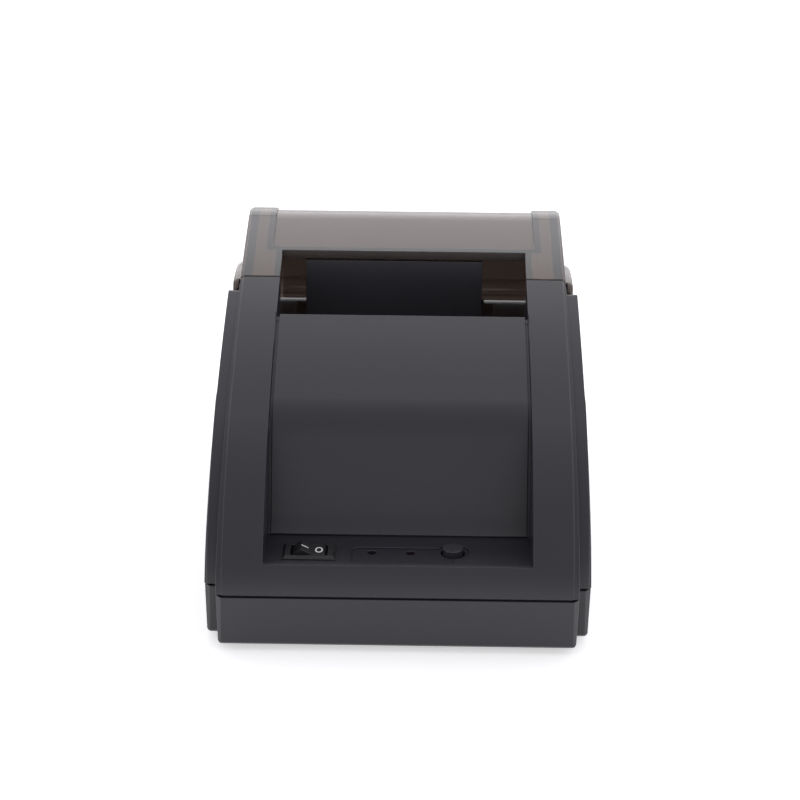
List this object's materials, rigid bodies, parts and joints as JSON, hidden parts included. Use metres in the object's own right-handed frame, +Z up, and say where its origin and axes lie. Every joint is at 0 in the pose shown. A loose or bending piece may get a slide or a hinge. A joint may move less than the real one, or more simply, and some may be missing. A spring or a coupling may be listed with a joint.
{
  "type": "thermal receipt printer",
  "caption": "Desktop thermal receipt printer: sloping dark case, rear-hinged smoked paper cover, rocker switch, feed button and a geared roller print mechanism.",
  "frame": {"origin": "centre of the bounding box on the table, under the middle of the case", "axes": "+X to the right seen from the front, +Y from the front face to the rear wall, +Z up; the front faces -Y"},
  "size_m": [0.134, 0.1962, 0.108],
  "materials": {
    "case_plastic": "fine-textured dark grey moulding, satin",
    "inner_plastic": "dark grey moulding, plain",
    "smoked_plastic": "translucent smoked moulding, satin",
    "black_plastic": "black moulding, satin",
    "rubber": "matt black rubber",
    "white_nylon": "unfilled nylon, satin",
    "green_plastic": "muted green moulding, satin",
    "sheet_steel": "zinc-plated sheet",
    "steel": "ground steel",
    "aluminium": "plain aluminium",
    "brass": "drawn brass",
    "ceramic": "glazed ceramic",
    "board": "green glass-fibre laminate",
    "screw_steel": "zinc-plated",
    "flex": "amber polyimide film",
    "cable": "grey ribbon",
    "wire": "red insulation",
    "green_lens": "tinted clear lens",
    "red_lens": "tinted clear lens"
  },
  "bodies": {
    "case": {"bottom_case": "case_plastic", "top_case": "case_plastic", "paper_well": "inner_plastic", "mech_frame": "sheet_steel", "platen_bushes": "white_nylon", "idler_axle": "steel", "motor_body": "sheet_steel", "head_pivot_shaft": "steel", "head_springs": "steel", "tear_bar": "sheet_steel", "paper_guide": "inner_plastic", "paper_sensor": "black_plastic", "main_board": "board", "board_parts": "black_plastic", "power_jack": "black_plastic", "usb_socket": "sheet_steel", "drawer_socket": "black_plastic", "panel_board": "board", "power_led": "green_lens", "status_led": "red_lens", "tact_switch": "black_plastic", "rocker_housing": "black_plastic", "rocker_terminals": "brass", "head_flex": "flex", "motor_cable": "cable", "panel_cable": "cable", "switch_wires": "wire", "rubber_feet": "rubber", "case_screws": "screw_steel", "mech_screws": "screw_steel", "board_screws": "screw_steel", "panel_board_screws": "screw_steel"},
    "cover": {"paper_cover": "smoked_plastic"},
    "rocker": {"rocker": "black_plastic"},
    "feed_button": {"feed_button": "inner_plastic", "tact_plunger": "white_nylon"},
    "platen": {"platen_core": "steel", "platen_rubber": "rubber", "platen_gear": "white_nylon"},
    "idler": {"idler_gear": "white_nylon"},
    "motor_rotor": {"motor_pinion": "brass"},
    "head": {"head_heat_sink": "aluminium", "thermal_head": "ceramic"},
    "lever": {"head_release_lever": "green_plastic"}
  },
  "joints": [
    {"name": "cover_hinge", "type": "hinge", "parent": "case", "child": "cover", "pos_m": [0, 0.08894, 0.0669], "axis": [-1, 0, 0], "range_deg": [0, 95]},
    {"name": "rocker_tilt", "type": "hinge", "parent": "case", "child": "rocker", "pos_m": [-0.031, -0.08052, 0.0263], "axis": [0, -1, 0], "range_deg": [0, 27]},
    {"name": "feed_press", "type": "slide", "parent": "case", "child": "feed_button", "axis": [0, 0, -1], "range_m": [0, 0.0005], "stiffness_N_per_m": 800, "springref_m": -0.0003},
    {"name": "platen_spin", "type": "hinge", "parent": "case", "child": "platen", "pos_m": [-0.0036, 0.01988, 0.0597], "axis": [1, 0, 0], "continuous": true},
    {"name": "idler_spin", "type": "hinge", "parent": "case", "child": "idler", "pos_m": [-0.0416, 0.01878, 0.04715], "axis": [1, 0, 0], "continuous": true},
    {"name": "motor_spin", "type": "hinge", "parent": "case", "child": "motor_rotor", "pos_m": [-0.0396, 0.02309, 0.03531], "axis": [1, 0, 0], "continuous": true},
    {"name": "lever_turn", "type": "hinge", "parent": "case", "child": "lever", "pos_m": [-0.0036, 0.00678, 0.0602], "axis": [-1, 0, 0], "range_deg": [0, 75]},
    {"name": "head_tilt", "type": "hinge", "parent": "case", "child": "head", "pos_m": [-0.0036, 0.01128, 0.0392], "axis": [1, 0, 0], "range_deg": [0, 2.6], "deforming": ["head_springs", "head_flex"]}
  ],
  "couplings": [
    {"joint": "idler_spin", "follows": "platen_spin", "ratio": -1.625},
    {"joint": "motor_spin", "follows": "platen_spin", "ratio": 4.0625},
    {"joint": "head_tilt", "follows": "lever_turn", "ratio": 0.034667}
  ]
}
